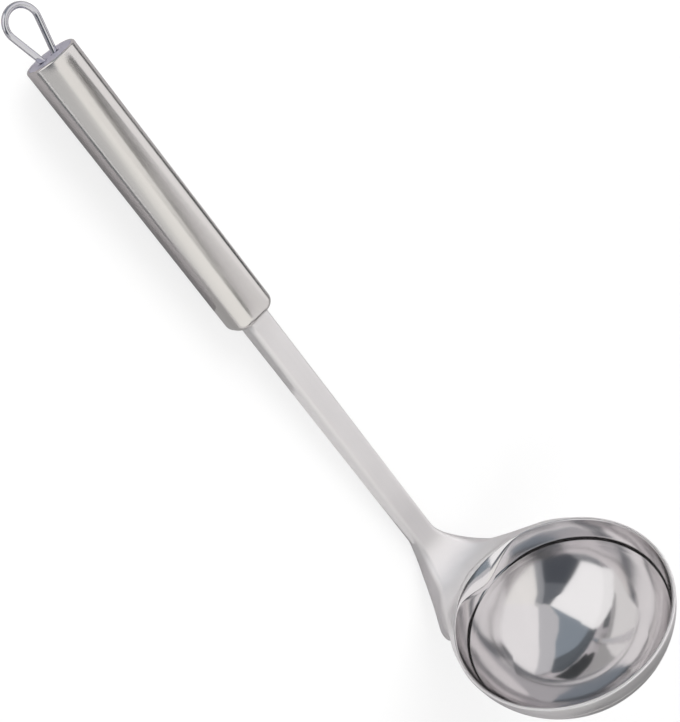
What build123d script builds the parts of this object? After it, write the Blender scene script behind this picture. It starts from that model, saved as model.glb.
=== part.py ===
"""Soup ladle: a bowl, neck and channel shank pressed from one steel sheet, a hollow round handle and a wire loop.

The ladle lies at rest on the floor, z = 0, on the bend of its neck and the front of its handle.
+X runs from the bowl to the hanging loop. The ladle is symmetric about y = 0, except for the loop's small offset.
"""
import os
from math import asin, atan2, cos, hypot, radians, sin, tan

from build123d import *

# Bowl: the outside of its sheet, measured from the plane of its mouth
mouth_radius = 44.0
bowl_depth = 37.0
side_arc_radius = 31.0
wall_lean = 5.0
sheet = 1.4
lip_width = 2.4
lip_drop = 2.6
lip_end_angle = 62.0

# Neck and shank: a channel with its edges turned down
handle_angle = 75.0
neck_length = 21.0
neck_dip = 5.5
bend_radius = 19.0
shank_run = 130.5
shank_front_width = 10.8
shank_neck_width = 10.1
flange_drop = 7.0
flange_spread = 0.3
fold_radius = 2.2
tang_length = 24.0
shank_steps = 14
tang_steps = 3

# The neck's sections, first out from the bowl and then round the bend: places and half widths are
# shares of the mouth's radius, drops and spreads are shares of the flange drop
neck_place_shares = (0.80, 0.89, 0.98, 1.06)
neck_dip_shares = (0.08, 0.30, 0.60, 0.90)
neck_half_width_shares = (0.66, 0.605, 0.555, 0.515)
neck_drop_shares = (1.0, 1.15, 1.25, 1.25)
neck_spread_shares = (0.28, 0.47, 0.57, 0.60)
bend_turn_shares = (1.0, 0.75, 0.5, 0.25)
bend_half_width_shares = (0.47, 0.30, 0.22, 0.155)
bend_drop_shares = (1.25, 1.15, 1.05, 1.0)
bend_spread_shares = (0.67, 0.74, 0.50, 0.22)

# Handle tube: round at the rear and a soft flattened oval at the front
handle_length = 121.4
handle_diameter = 20.0
front_width = 19.4
front_height = 17.2
front_corner_radius = 7.2
rear_corner_share = 0.985
handle_wall = 1.0
shoulder_radius = 3.4
rear_edge_radius = 0.85
top_face_rise = 4.4
slot_gap = 0.08

# Bush that holds the tang inside the handle
bush_length = 14.0
bush_gap = 0.1

# End cap and hanging loop
cap_thickness = 1.6
cap_gap = 0.06
wire_diameter = 2.4
wire_hole_diameter = 3.8
loop_height = 20.2
loop_half_width = 6.2
leg_spacing = 5.6
loop_offset = 0.5
foot_length = 4.0
foot_bend_radius = 1.5
foot_gap = 0.15

# Cuts run past the faces that they cut by this much
overrun = 5.0

# The shank's top face meets the mouth's plane at this distance from the bowl's centre
neck_reach = mouth_radius + neck_length

# The lip's disc is set towards the neck by this much
lip_shift = lip_width / (1 - cos(radians(lip_end_angle)))

# Bowl profile: a side arc that leans in from the mouth, then an arc centred on the bowl's axis
side_centre_x = mouth_radius - side_arc_radius * cos(radians(wall_lean))
side_centre_z = side_arc_radius * sin(radians(wall_lean))
side_rise = side_centre_z + bowl_depth
floor_arc_radius = (side_centre_x**2 + side_rise**2 - side_arc_radius**2) / (2 * (side_rise - side_arc_radius))
floor_centre_z = floor_arc_radius - bowl_depth

# Places in the ladle's middle plane are given along the shank, from where its top face meets the
# mouth's plane, and above that face
bend_start = bend_radius * tan(radians(handle_angle / 2)) - neck_dip / sin(radians(handle_angle))
handle_end = shank_run + handle_length
bend_centre = (bend_start, bend_radius)
wall_slope = (handle_diameter - front_height) / 2 / handle_length
shoulder_drop = top_face_rise + front_height / 2 + wall_slope * shoulder_radius
shoulder_centre = (shank_run + shoulder_radius, shoulder_radius - shoulder_drop)

# The floor is the common tangent of the bend's turned-down edges and the handle's front shoulder
between_along = shoulder_centre[0] - bend_centre[0]
between_above = shoulder_centre[1] - bend_centre[1]
drop_radius = bend_radius + flange_drop
tangent_turn = asin((shoulder_radius - drop_radius) / hypot(between_along, between_above))
rest_tilt = tangent_turn - atan2(between_above, between_along)


def lying(along, above):
    """X and z, before the origin is set, of a place in the ladle's middle plane."""
    return along * cos(rest_tilt) - above * sin(rest_tilt), along * sin(rest_tilt) + above * cos(rest_tilt)


def from_mouth(out, up):
    """Along and above the shank, of a place given out from the bowl's centre and up from the mouth's plane."""
    turn = radians(handle_angle)
    beyond = out - neck_reach
    return beyond * cos(turn) + up * sin(turn), up * cos(turn) - beyond * sin(turn)


# The origin lies on the floor, half way between the bowl's far side and the loop's tip
low_x = lying(*from_mouth(0, floor_centre_z))[0] - floor_arc_radius
high_x = lying(handle_end + loop_height, -top_face_rise)[0] + wire_diameter / 2
middle_x = (low_x + high_x) / 2
floor_z = lying(*bend_centre)[1] - drop_radius


def point(along, above):
    """The point of the ladle's middle plane at a place along and above the shank."""
    x, z = lying(along, above)
    return (x - middle_x, 0, z - floor_z)


def direction(angle):
    """The direction in the middle plane that is turned up by an angle from the shank's own."""
    turned = radians(angle) + rest_tilt
    return (cos(turned), 0, sin(turned))


def across(along, above, angle=0):
    """The plane across the shank or neck at a place, with its y rising from the top face."""
    return Plane(origin=point(along, above), x_dir=(0, 1, 0), z_dir=direction(angle))


mouth_centre = point(*from_mouth(0, 0))
mouth_plane = Plane(origin=mouth_centre, x_dir=direction(-handle_angle), z_dir=direction(90 - handle_angle))
mouth_side = Plane(origin=mouth_centre, x_dir=direction(-handle_angle), z_dir=(0, -1, 0))
bowl_axis = Axis(mouth_centre, direction(90 - handle_angle))
handle_axis = Axis(point(shank_run, -top_face_rise), direction(0))
loop_plane = Plane(origin=point(handle_end, -top_face_rise), x_dir=direction(0), z_dir=direction(90))


def bowl_half(inset, closing_height):
    """Half profile of the bowl, inset from its outside and closed at a height above the mouth."""
    side_radius = side_arc_radius - inset
    floor_radius = floor_arc_radius - inset
    lean = radians(wall_lean)
    join_angle = atan2(side_centre_z - floor_centre_z, side_centre_x)
    side_angles = (-lean, (join_angle - lean) / 2, join_angle)
    floor_angle = (join_angle - radians(90)) / 2
    rim, side_middle, join = [
        (side_centre_x + side_radius * cos(angle), side_centre_z + side_radius * sin(angle)) for angle in side_angles
    ]
    floor_middle = (floor_radius * cos(floor_angle), floor_centre_z + floor_radius * sin(floor_angle))
    bottom = (0, floor_centre_z - floor_radius)
    with BuildLine() as outline:
        ThreePointArc(rim, side_middle, join)
        ThreePointArc(join, floor_middle, bottom)
        Line(bottom, (0, closing_height))
        if closing_height > rim[1]:
            Polyline((0, closing_height), (rim[0], closing_height), rim)
        else:
            Line((0, closing_height), rim)
    return outline.line


def channel(half_width, drop, spread, gap=0):
    """Outline of the channel, a flat top with both edges folded down and spread outwards, grown by a gap."""
    slope = spread / drop
    slant = hypot(spread, drop) / drop
    outer_gap = gap * slant
    inner_gap = (sheet + gap) * slant
    foot = drop + gap
    right = [
        (half_width - gap * slope + outer_gap, gap),
        (half_width + foot * slope + outer_gap, -foot),
        (half_width + foot * slope - inner_gap, -foot),
        (half_width + (sheet + gap) * slope - inner_gap, -sheet - gap),
    ]
    left = [(-side, height) for side, height in reversed(right)]
    outer_fold = fold_radius + gap
    inner_fold = fold_radius - sheet - gap
    with BuildLine() as outline:
        FilletPolyline(
            *right, *left, radius=[outer_fold, 0, 0, inner_fold, inner_fold, 0, 0, outer_fold], close=True
        )
    return outline.line


def channel_sections():
    """Planes and sizes of the channel's sections, from inside the mouth's circle to the end of the tang."""
    sections = []
    shares = (neck_place_shares, neck_dip_shares, neck_half_width_shares, neck_drop_shares, neck_spread_shares)
    for place, dip, half_width, drop, spread in zip(*shares):
        plane = across(*from_mouth(place * mouth_radius, -dip * neck_dip), -handle_angle)
        sections.append((plane, half_width * mouth_radius, drop * flange_drop, spread * flange_drop))
    shares = (bend_turn_shares, bend_half_width_shares, bend_drop_shares, bend_spread_shares)
    for turn, half_width, drop, spread in zip(*shares):
        angle = handle_angle * turn
        along = bend_start - bend_radius * sin(radians(angle))
        above = bend_radius * (1 - cos(radians(angle)))
        plane = across(along, above, -angle)
        sections.append((plane, half_width * mouth_radius, drop * flange_drop, spread * flange_drop))
    for step in range(shank_steps + 1):
        share = step / shank_steps
        plane = across(bend_start + (shank_run - bend_start) * share, 0)
        width = shank_neck_width + (shank_front_width - shank_neck_width) * share
        sections.append((plane, width / 2, flange_drop, flange_spread))
    for step in range(1, tang_steps + 1):
        plane = across(shank_run + tang_length * step / tang_steps, 0)
        sections.append((plane, shank_front_width / 2, flange_drop, flange_spread))
    return sections


def handle_section(distance, inset):
    """Width, height and corner radius of the handle at a distance from its front, inset from its outside."""
    share = distance / handle_length
    rear_corner_radius = handle_diameter / 2 * rear_corner_share
    width = front_width + (handle_diameter - front_width) * share - 2 * inset
    height = front_height + (handle_diameter - front_height) * share - 2 * inset
    corner_radius = front_corner_radius + (rear_corner_radius - front_corner_radius) * share - inset
    return width, height, corner_radius


def handle_plane(distance):
    """The plane across the handle's axis at a distance from its front."""
    return across(shank_run + distance, -top_face_rise)


def leg_points(side):
    """Foot's end, foot's corner and the start of the round top, for one leg of the teardrop loop."""
    round_centre = loop_height - loop_half_width
    half_spacing = leg_spacing / 2
    lean = asin(loop_half_width / hypot(round_centre, half_spacing)) - atan2(half_spacing, round_centre)
    depth = cap_thickness + foot_gap + wire_diameter / 2
    corner = half_spacing - depth * tan(lean)
    return [
        (-depth, loop_offset + side * (corner + foot_length)),
        (-depth, loop_offset + side * corner),
        (round_centre - loop_half_width * sin(lean), loop_offset + side * loop_half_width * cos(lean)),
    ]


with BuildPart() as bowl_and_shank:
    # Neck, shank and tang
    for plane, half_width, drop, spread in channel_sections():
        with BuildSketch(plane):
            with BuildLine():
                add(channel(half_width, drop, spread))
            make_face()
    loft()
    # Bowl
    with BuildSketch(mouth_side):
        with BuildLine():
            add(bowl_half(0, 0))
        make_face()
    revolve(axis=bowl_axis)
    # Lip: a disc set towards the neck, so it stands out there and dies into the rim on both sides
    with BuildSketch(mouth_plane):
        with Locations((lip_shift, 0)):
            Circle(mouth_radius + lip_width - lip_shift)
    extrude(amount=-lip_drop)
    # Inside of the bowl
    with BuildSketch(mouth_side):
        with BuildLine():
            add(bowl_half(sheet, overrun))
        make_face()
    revolve(axis=bowl_axis, mode=Mode.SUBTRACT)
bowl_and_shank.part.label = "bowl_and_shank"

with BuildPart() as handle_tube:
    for distance in (0, handle_length):
        with BuildSketch(handle_plane(distance)):
            RectangleRounded(*handle_section(distance, 0))
    loft(ruled=True)
    fillet(handle_tube.faces().sort_by(handle_axis)[0].edges(), radius=shoulder_radius)
    fillet(handle_tube.faces().sort_by(handle_axis)[-1].edges(), radius=rear_edge_radius)
    # Hollow inside, open at the rear
    for distance in (handle_wall, handle_length):
        with BuildSketch(handle_plane(distance)):
            RectangleRounded(*handle_section(distance, handle_wall))
    loft(ruled=True, mode=Mode.SUBTRACT)
    # Slot that the tang passes through
    with BuildSketch(across(shank_run - overrun, 0)):
        with BuildLine():
            add(channel(shank_front_width / 2, flange_drop, flange_spread, slot_gap))
        make_face()
    extrude(amount=2 * overrun, mode=Mode.SUBTRACT)
handle_tube.part.label = "handle_tube"

with BuildPart() as tang_bush:
    for distance in (shoulder_radius, shoulder_radius + bush_length):
        with BuildSketch(handle_plane(distance)):
            RectangleRounded(*handle_section(distance, handle_wall + bush_gap))
    loft(ruled=True)
    with BuildSketch(across(shank_run, 0)):
        with BuildLine():
            add(channel(shank_front_width / 2, flange_drop, flange_spread, slot_gap))
        make_face()
    extrude(amount=shoulder_radius + bush_length + overrun, mode=Mode.SUBTRACT)
tang_bush.part.label = "tang_bush"

with BuildPart() as end_cap:
    with BuildSketch(handle_plane(handle_length)):
        RectangleRounded(*handle_section(handle_length, handle_wall + cap_gap))
        with Locations((loop_offset - leg_spacing / 2, 0), (loop_offset + leg_spacing / 2, 0)):
            Circle(wire_hole_diameter / 2, mode=Mode.SUBTRACT)
    extrude(amount=-cap_thickness)
end_cap.part.label = "end_cap"

with BuildPart() as hanging_loop:
    with BuildLine(loop_plane) as wire_path:
        FilletPolyline(*leg_points(-1), radius=foot_bend_radius)
        ThreePointArc(leg_points(-1)[-1], (loop_height, loop_offset), leg_points(1)[-1])
        FilletPolyline(*reversed(leg_points(1)), radius=foot_bend_radius)
    wire_line = wire_path.wire()
    with BuildSketch(Plane(origin=wire_line @ 0, z_dir=wire_line % 0)):
        Circle(wire_diameter / 2)
    sweep(path=wire_line)
hanging_loop.part.label = "hanging_loop"

os.makedirs("parts", exist_ok=True)
for piece in (bowl_and_shank, handle_tube, tang_bush, end_cap, hanging_loop):
    export_step(piece.part, f"parts/{piece.part.label}.step")
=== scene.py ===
"""Dresses the soup ladle: a pressed sheet, a hollow handle, its cap and wire loop, their steels and the studio."""

from math import asin, atan2, cos, hypot, pi, radians, sin, tan

import bmesh
import bpy
import numpy as np
from mathutils import Matrix, Vector


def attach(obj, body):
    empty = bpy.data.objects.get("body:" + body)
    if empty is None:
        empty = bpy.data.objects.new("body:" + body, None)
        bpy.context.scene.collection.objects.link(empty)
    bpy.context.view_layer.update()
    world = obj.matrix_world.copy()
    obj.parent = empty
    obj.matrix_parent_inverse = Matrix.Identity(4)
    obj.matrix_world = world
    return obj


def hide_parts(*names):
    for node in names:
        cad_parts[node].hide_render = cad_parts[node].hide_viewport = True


bl_info = {
    "name": "Soup Ladle",
    "version": (1, 0, 0),
    "blender": (4, 5, 0),
    "location": "View3D > Sidebar > Ladle",
    "description": "Builds the visible pieces of a pressed steel soup ladle and its studio",
    "category": "Add Mesh",
}

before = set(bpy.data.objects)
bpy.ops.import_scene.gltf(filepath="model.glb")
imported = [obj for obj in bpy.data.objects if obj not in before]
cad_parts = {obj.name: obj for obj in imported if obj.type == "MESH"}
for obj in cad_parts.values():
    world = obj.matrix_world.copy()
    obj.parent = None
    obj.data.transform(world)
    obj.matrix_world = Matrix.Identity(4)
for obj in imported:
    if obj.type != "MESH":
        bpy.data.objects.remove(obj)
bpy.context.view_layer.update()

MM = 0.001

# Shape of the mouth, neck and bend: angles, and shares of the lip's width
HANDLE_ANGLE = radians(75)
WALL_LEAN = radians(5)
LIP_END = radians(62)
LIP_EDGE_IN = 0.12
LIP_FOOT_OUT = 0.3
UNDER_RIM_EASE = 1.5
CREASE_END = radians(31)
# Stations along the bend: turn left to go, half width as a share of the mouth's radius, drop and spread of the
# flange as shares of its drop at the shank, and fold as a share of the shank's
BEND_TURNS = (1.0, 0.75, 0.5, 0.25)
BEND_HALF_WIDTHS = (0.47, 0.30, 0.22, 0.155)
BEND_DROPS = (1.15, 1.08, 1.05, 1.0)
BEND_SPREADS = (0.70, 0.88, 0.52, 0.22)
BEND_FOLDS = (2.4, 2.1, 1.7, 1.3)
STRAIGHT_RUNS = (1.0, 1.25, 1.5)
# The flange's foot: its rounding as a share of the sheet, and the pulls that shape the neck's rings, each between
# two places counted along a ring's side
FOOT_EDGE = 0.16
FOOT_PULL = 0.48
FOOT_SIDEWAYS = 0.1
FOOT_RISE = (5, 10)
FOOT_FALL = (14, 19)
UNDER_PULL = 0.6
UNDER_RISE = (15, 19)

# Steps of the sheet's mesh. The rim's side and a section's side need the same count of points, here 20.
ROUND_STEPS = 240
OPEN_STEPS = 29
TOP_POINTS = 2 * OPEN_STEPS + 1
INSIDE_STEPS = (34, 26)
OUTSIDE_STEPS = (30, 22)
WALL_STEPS = 5
CREASE_STEPS = 6
RIM_STEPS = 6
FOLD_STEPS = (6, 4)
FLAT_PARTS = (0.35, 0.7, 0.95)
UNDER_RIM_STEPS = 8
NECK_ROWS = 22
BEND_ROWS = 24
SHANK_ROWS = 16

# Finishes of the sheet's faces
SATIN = 0
POLISHED = 1

# Shape and steps of the handle, its cap and the loop
REAR_CORNER = 0.985
FRONT_PARTS = (0.15, 0.4, 0.7, 0.9, 0.985)
INNER_FRONT = 1.2
HANDLE_ROUND = 96
SHOULDER_STEPS = 12
TUBE_STEPS = 40
REAR_STEPS = 6
CAP_ROUND = 96
HOLE_ROUND = 32
CAP_EDGE_STEPS = 4
CAP_MARGIN = 1.3
WIRE_FOOT_STEPS = 8
WIRE_TOP_STEPS = 40

# Finishes: heights from the mouth between which the rim's blur and wave rise, and shares of the marks that show
RIM_HEIGHTS = (-0.026, -0.012)
BRUSHED_CONTRAST = 0.16
POLISHED_CONTRAST = -0.05
SCRATCH_WEAR = 0.05
SATIN_METALLIC = 0.75
RELIEF_DEPTH = MM / 20
SOCKET_KINDS = {1: "NodeSocketFloat", 3: "NodeSocketVector", 4: "NodeSocketColor"}
STEEL_NAMES = ("satin_sheet", "polished_bowl", "brushed_handle", "cap_steel", "wire_chrome", "bush_steel")

# Camera and floor, in the frame's metres and degrees
CAMERA_PLACE = (0.21374, 0.18935, 0.50248)
CAMERA_TURN = (-3.2336, -31.9032, -132.0786)
SENSOR_HEIGHT = 36
FLOOR_REACH = 2.4
FLOOR_GAP = 0.0002
SHADOW_FADE = (0.30, 0.75)

# Lamps: name, place, target, size, power, tint
LAMPS = (
    ("key", (-0.5, 0.7, 1.1), (0.0, 0.0, 0.03), (0.9, 0.9), 5.5, (1.0, 1.0, 1.0)),
    ("fill", (0.8, -0.7, 0.9), (0.0, 0.0, 0.03), (0.9, 0.9), 13.5, (1.0, 0.985, 0.97)),
    ("neck_light", (0.6, -0.25, 0.25), (-0.11, 0.0, 0.02), (0.4, 0.4), 2.4, (1.0, 0.985, 0.99)),
)

# Cards that show only in reflections: name, strength, tint and corners as azimuth and elevation seen from the bowl.
# They stand CARD_DISTANCE away and the panel behind them; a corner below the horizon lies on the floor.
BOWL_EYE = (-0.15, -0.015, 0.05)
CARD_DISTANCE = 3.0
PANEL_DISTANCE = 4.6
FAR_CARDS = (
    ("panel", 0.94, (1.0, 0.985, 0.99), (
        (-113, -1), (-62, -1), (-52, 8), (-41, 21), (-32, 33), (-20, 45), (0, 58), (0, 68), (-60, 75), (-113, 62),
    )),
    ("panel_edge", 0.60, (0.97, 0.97, 1.0), (
        (-62, -1), (-52, 8), (-41, 21), (-32, 33), (-20, 45), (0, 58), (14, 58), (6, 36), (-8, 28), (-20, 22),
        (-30, 12), (-41, 3), (-44, -1),
    )),
    ("blue_high", 0.36, (0.76, 0.88, 1.0), (
        (15, 50), (6, 36), (-8, 28), (-20, 22), (-30, 12), (-34, 9), (-25, 6), (-10, 4), (12, 3),
    )),
    ("blue_low", 0.16, (0.8, 0.9, 1.0), (
        (12, 3), (-10, 4), (-25, 6), (-34, 9), (-41, 3), (-46, -1), (12, -1),
    )),
    ("blue_floor", 0.14, (0.8, 0.9, 1.0), ((12, -1), (-46, -1), (-46, -4), (-38, -7), (-8, -6), (12, -4))),
    ("softbox", 1.07, (1.0, 1.0, 1.0), ((75, 20), (69, -1), (10, -1), (12, 23), (15, 49))),
    ("softbox_floor", 1.0, (1.0, 1.0, 1.0), ((69, -1), (67, -12), (35, -11), (14, -5), (10, -1))),
    ("dark_top", 0.19, (0.84, 0.9, 1.0), ((15, 50), (52, 35), (56, 62), (30, 61), (10, 58))),
    ("dark_core", 0.105, (0.78, 0.86, 1.0), ((52, 35), (75, 21), (90, 30), (96, 54), (80, 60), (56, 62))),
    ("dark_side", 0.27, (0.9, 0.94, 1.0), ((75, 20.5), (69, -1), (84, -1), (88, 12), (90, 30))),
    ("dim_top", 0.38, (0.92, 0.95, 1.0), (
        (10, 58), (30, 60), (56, 61), (80, 59), (96, 53), (106, 62), (60, 69), (30, 67), (8, 66),
    )),
    ("handle_line", 0.0, (0.9, 0.93, 1.0), (
        (-96, 30), (-96.5, 36), (-97.5, 44), (-99.5, 52), (-104, 60), (-112, 65.5), (-124, 68), (-134, 67.8),
        (-142, 66.5), (-152, 67), (-165, 69), (-184, 71), (-196, 71), (-212, 67), (-212, 57), (-196, 62),
        (-184, 63.5), (-165, 63.5), (-152, 61.8), (-142, 61.2), (-134, 62.5), (-126, 61.8), (-119, 59),
        (-114, 54.5), (-109, 49.5), (-106.5, 43), (-106, 36), (-105, 30),
    )),
    ("side_pink", 0.80, (1.0, 0.98, 0.985), (
        (-113, -1), (-113, 56), (-118, 59), (-126, 62), (-134, 62), (-142, 60.5), (-150, 61.5), (-165, 65),
        (-170, 60), (-170, 30), (-150, -1),
    )),
    ("side_light", 0.98, (1.0, 0.99, 0.96), (
        (106, -1), (106.5, 30), (107, 45), (109, 57), (115, 68), (140, 72), (176, 66), (160, -1),
    )),
    ("back_dark", 0.03, (0.9, 0.92, 1.0), ((150, 0), (158, 18), (185, 24), (208, 20), (214, 0))),
    ("back_floor", 0.05, (0.9, 0.92, 1.0), ((150, -1), (154, -14), (168, -28), (190, -28), (208, -16), (214, -1))),
)
# A card above, with its corners in the frame's own places
ZENITH = ("zenith", 0.95, (1.0, 0.985, 0.96), (
    (-1.4, -2.6, 3.6), (0.3, -1.1, 4.0), (1.5, 0.0, 3.6), (1.1, 0.7, 3.6), (0.6, 1.2, 3.6), (-0.5, 1.8, 3.5),
    (-1.6, 2.4, 3.3), (-3.4, 1.6, 3.2), (-3.8, -1.6, 3.0), (-2.6, -3.2, 3.1),
))
# Cards on the floor, seen from the bowl and the neck: name, strength, tint, height and corners in the frame's places
FLOOR_CARDS = (
    ("floor_dim", 0.40, (1.0, 0.99, 0.99), MM, (
        (-0.107, -0.02), (-0.085, -0.034), (-0.055, -0.075), (-0.005, -0.05), (0.03, -0.02), (0.036, 0.06),
        (0.03, 0.2), (-0.08, 0.2), (-0.107, 0.06),
    )),
    ("floor_near", 0.80, (1.0, 0.985, 0.98), 2 * MM, (
        (-0.1, -0.02), (-0.07, -0.02), (-0.02, -0.01), (0.0, 0.05), (-0.01, 0.19), (-0.08, 0.19), (-0.1, 0.06),
    )),
    ("floor_dark", 0.06, (0.9, 0.95, 1.0), MM, (
        (-0.05, -0.09), (-0.01, -0.056), (0.03, -0.038), (0.07, -0.045), (0.1, -0.07), (0.2, -0.085), (0.2, -0.2),
        (0.08, -0.26), (0.02, -0.18),
    )),
    ("floor_dark_far", 0.16, (0.9, 0.95, 1.0), MM, ((0.045, 0.045), (0.15, 0.06), (0.2, 0.12), (0.07, 0.13))),
    ("floor_beside", 0.9, (1.0, 0.985, 0.97), MM, (
        (-0.2, -0.1), (-0.16, -0.055), (-0.10, -0.045), (-0.075, -0.085), (-0.03, -0.16), (0.08, -0.31), (0.3, -0.7),
        (1.5, -2.9), (-1.2, -2.9), (-0.4, -0.7),
    )),
)

# Settings

def length(name, description, default):
    """A length property in metres, with its default in millimetres."""
    return bpy.props.FloatProperty(
        name=name, description=description, default=default * MM, min=0, unit="LENGTH", subtype="DISTANCE", precision=5
    )


def share(name, description, default):
    """A property that is a share of something."""
    return bpy.props.FloatProperty(name=name, description=description, default=default, min=0, max=1, subtype="FACTOR")


def amount(name, description, default):
    """A plain number that isn't negative."""
    return bpy.props.FloatProperty(name=name, description=description, default=default, min=0)


def colour(name, description, default):
    """A colour property."""
    return bpy.props.FloatVectorProperty(
        name=name, description=description, default=default, size=3, min=0, max=1, subtype="COLOR"
    )


class LadleSheetSettings(bpy.types.PropertyGroup):
    """Sizes of the pressed sheet: bowl, lip, neck and shank."""

    mouth_radius: length("Mouth Radius", "Outside radius of the bowl at its mouth", 44.0)
    bowl_depth: length("Bowl Depth", "Outside depth of the bowl below its mouth", 37.0)
    side_arc_radius: length("Side Arc Radius", "Outside radius of the bowl's side", 31.0)
    thickness: length("Thickness", "Thickness of the sheet", 1.4)
    lip_width: length("Lip Width", "How far the lip stands out towards the neck", 2.4)
    lip_drop: length("Lip Drop", "Height of the lip's turned edge", 2.6)
    rim_rounding: length("Rim Rounding", "Rounding of the rim's outer edge", 0.45)
    wall_top: length("Wall Top", "Depth below the mouth where the wall's even part ends", 10.0)
    crease_rounding: length("Crease Rounding", "Rounding of the rim's inner edge", 0.45)
    crease_extra_rounding: length("Neck Crease Rounding", "Extra rounding of the inner edge at the neck", 5.0)
    crease_reach: length("Crease Reach", "How far the inner edge stands out at the neck", 5.3)
    crease_dip: length("Crease Dip", "How far the inner edge dips at the neck", 4.2)
    neck_length: length("Neck Length", "From the rim to the line of the shank", 21.0)
    neck_dip: length("Neck Dip", "How far the neck dips below the mouth", 5.5)
    bend_radius: length("Bend Radius", "Radius of the bend from neck to shank", 19.0)
    shank_run: length("Shank Run", "From the mouth's plane to the handle", 130.5)
    shank_front_width: length("Shank Width At Handle", "Width of the shank where it enters the handle", 10.8)
    shank_neck_width: length("Shank Width At Neck", "Width of the shank at the bend", 10.1)
    flange_drop: length("Flange Drop", "Height of the shank's turned edges", 7.0)
    flange_spread: length("Flange Spread", "How far the shank's edges lean outwards", 0.3)
    fold_radius: length("Fold Radius", "Outside radius of the folded edges", 2.2)
    tang_shown: length("Tang", "How far the shank's skin goes on inside the handle", 4.0)


class LadleHandleSettings(bpy.types.PropertyGroup):
    """Sizes of the hollow handle and its cap."""

    handle_length: length("Handle Length", "Length of the tube", 121.4)
    handle_diameter: length("Handle Diameter", "Diameter at the rear", 20.0)
    front_width: length("Front Width", "Width at the front", 19.4)
    front_height: length("Front Height", "Height at the front", 17.2)
    front_corner: length("Front Corner", "Corner radius of the front's section", 7.2)
    wall: length("Wall", "Thickness of the tube's wall", 1.0)
    shoulder: length("Shoulder", "Rounding of the closed front", 3.4)
    rear_edge: length("Rear Edge", "Rounding of the open rear", 0.85)
    top_rise: length("Top Rise", "Height of the shank's face above the handle's axis", 4.4)
    cap_thickness: length("Cap Thickness", "Thickness of the end cap", 1.6)
    cap_gap: length("Cap Gap", "Gap between the cap and the tube's wall", 0.06)
    cap_edge: length("Cap Edge", "Rounding of the cap's edges", 0.25)
    wire_hole: length("Wire Hole", "Diameter of the holes in the cap", 3.8)


class LadleLoopSettings(bpy.types.PropertyGroup):
    """Sizes of the wire loop."""

    wire: length("Wire", "Diameter of the wire", 2.4)
    height: length("Height", "From the cap to the middle of the loop's tip", 20.2)
    half_width: length("Half Width", "Radius of the loop's round top", 6.2)
    spacing: length("Leg Spacing", "Between the two legs at the cap", 5.6)
    offset: length("Offset", "How far the loop stands to one side", 0.5)
    foot_length: length("Foot Length", "Length of the feet behind the cap", 4.0)
    foot_gap: length("Foot Gap", "Gap between the feet and the cap", 0.15)
    foot_bend: length("Foot Bend", "Radius of the bend to the feet", 1.5)
    rounds: bpy.props.IntProperty(name="Rounds", description="Faces around the wire", default=24, min=8, max=64)
    steps: bpy.props.IntProperty(name="Steps", description="Rings along the wire", default=180, min=20, max=400)


class LadleFinishSettings(bpy.types.PropertyGroup):
    """Colours and roughness of the steels."""

    sheet_colour: colour("Sheet Steel", "Colour of the satin sheet", (0.71, 0.695, 0.70))
    polished_colour: colour("Polished Steel", "Colour of the polished inside", (0.78, 0.76, 0.765))
    handle_colour: colour("Handle Steel", "Colour of the handle", (0.74, 0.72, 0.705))
    cap_colour: colour("Cap Steel", "Colour of the end cap", (0.76, 0.75, 0.84))
    wire_colour: colour("Wire Steel", "Colour of the loop", (0.64, 0.64, 0.68))
    bush_colour: colour("Bush Steel", "Colour of the block inside the handle", (0.35, 0.35, 0.36))
    sheet_roughness: share("Sheet Roughness", "Roughness of the satin sheet", 0.42)
    polished_roughness: share("Polished Roughness", "Roughness of the polished inside", 0.07)
    handle_roughness: share("Handle Roughness", "Roughness of the handle", 0.19)
    cap_roughness: share("Cap Roughness", "Roughness of the end cap", 0.5)
    wire_roughness: share("Wire Roughness", "Roughness of the loop", 0.06)


class LadleStageSettings(bpy.types.PropertyGroup):
    """The studio: floor, lamps and camera."""

    floor_colour: colour("Floor", "Colour of the floor", (0.86, 0.86, 0.86))
    reflected_floor: colour("Reflected Floor", "Colour of the floor where the steel reflects it", (0.34, 0.33, 0.34))
    floor_shadow: share("Floor Shadow", "Share of the floor's white that the shadow can take away", 0.27)
    world_light: amount("World Light", "Strength of the even light around the ladle", 0.6)
    lens: amount("Lens", "Focal length in millimetres", 74.449)


# Places: along and above the shank, out from and up from the mouth, and the frame's own

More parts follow.
